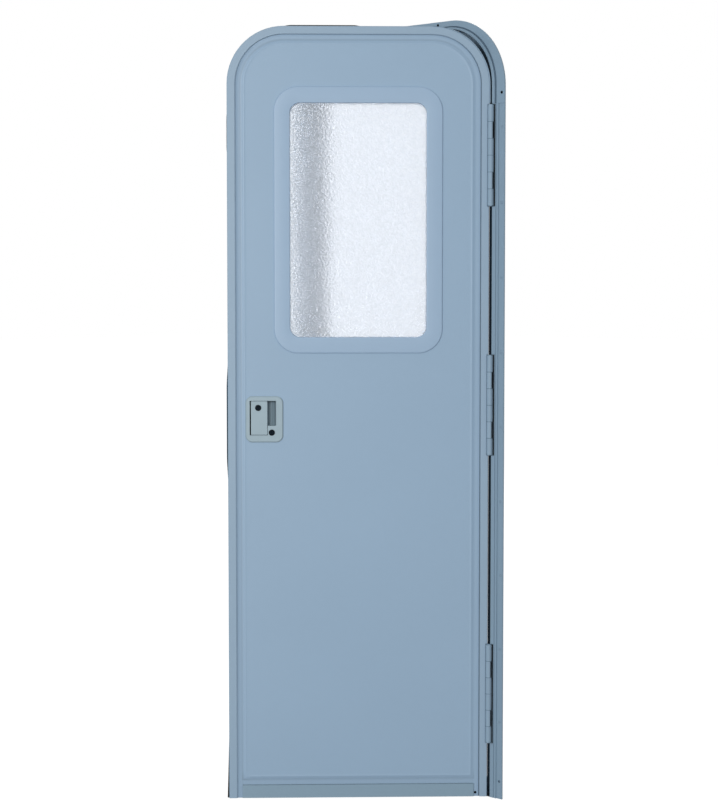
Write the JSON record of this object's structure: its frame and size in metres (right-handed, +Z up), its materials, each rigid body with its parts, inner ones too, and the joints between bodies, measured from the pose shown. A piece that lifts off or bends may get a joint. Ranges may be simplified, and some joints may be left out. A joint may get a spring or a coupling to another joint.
{
  "type": "caravan entry door",
  "caption": "Caravan entry door with rounded top corners, a fixed obscured window and a flush paddle latch, hung ajar on knuckled hinges in its flanged frame.",
  "frame": {"origin": "foot of the hinge jamb, on the back face of its screw flange and on the line of its screw holes", "axes": "+X to the right seen from outside, +Y through the wall to the inside, +Z up"},
  "size_m": [0.6835, 0.4891, 1.81],
  "materials": {
    "frame_paint": "satin paint on aluminium",
    "trim_paint": "satin paint on aluminium",
    "skin_paint": "smooth satin paint",
    "ring_paint": "satin paint",
    "foam": "rigid foam",
    "inner_panel": "smooth vinyl",
    "seal_rubber": "black rubber",
    "bare_steel": "plated",
    "obscured_glass": "pebbled",
    "lock_grey": "satin",
    "lock_black": "satin black",
    "key_metal": "worn metal",
    "inside_black": "moulded black"
  },
  "bodies": {
    "frame": {"hinge_jamb": "frame_paint", "latch_jamb": "frame_paint", "header": "frame_paint", "hinge_corner": "frame_paint", "latch_corner": "frame_paint", "sill": "frame_paint", "jamb_seal": "seal_rubber", "sill_seal": "seal_rubber", "strike_plate": "bare_steel", "frame_hinge_lower": "frame_paint", "frame_hinge_middle": "frame_paint", "frame_hinge_upper": "frame_paint", "hinge_pin_lower": "bare_steel", "hinge_pin_middle": "bare_steel", "hinge_pin_upper": "bare_steel"},
    "door": {"edge_trim": "trim_paint", "bottom_rail": "trim_paint", "outer_skin": "skin_paint", "leaf_core": "foam", "inner_skin": "inner_panel", "window_ring_outer": "ring_paint", "window_gasket": "seal_rubber", "window_glass": "obscured_glass", "window_ring_inner": "ring_paint", "door_hinge_lower": "frame_paint", "door_hinge_middle": "frame_paint", "door_hinge_upper": "frame_paint", "lock_housing": "lock_grey", "deadbolt_barrel": "lock_black", "paddle_pin": "bare_steel", "inner_lock_plate": "inside_black", "inner_lever": "inside_black", "inner_knob": "inside_black", "latch_face_plate": "bare_steel", "latch_bolt": "bare_steel", "dead_bolt": "bare_steel"},
    "paddle": {"paddle": "lock_grey", "latch_barrel": "lock_black"},
    "latch_plug": {"latch_key_plug": "key_metal"},
    "deadbolt_plug": {"deadbolt_key_plug": "key_metal"}
  },
  "joints": [
    {"name": "door_swing", "type": "hinge", "parent": "frame", "child": "door", "pos_m": [-0.029, -0.0075, 0], "axis": [0, 0, 1], "range_deg": [-45, 135]},
    {"name": "paddle_pull", "type": "hinge", "parent": "door", "child": "paddle", "pos_m": [-0.42102, -0.39019, 0.887], "axis": [0, 0, -1], "range_deg": [0, 25], "stiffness_Nm_per_rad": 0.4},
    {"name": "latch_key_turn", "type": "hinge", "parent": "paddle", "child": "latch_plug", "pos_m": [-0.40737, -0.38517, 0.9134], "axis": [0.7071, -0.7071, 0], "range_deg": [0, 90]},
    {"name": "deadbolt_key_turn", "type": "hinge", "parent": "door", "child": "deadbolt_plug", "pos_m": [-0.38531, -0.3631, 0.8562], "axis": [0.7071, -0.7071, 0], "range_deg": [0, 90]}
  ]
}
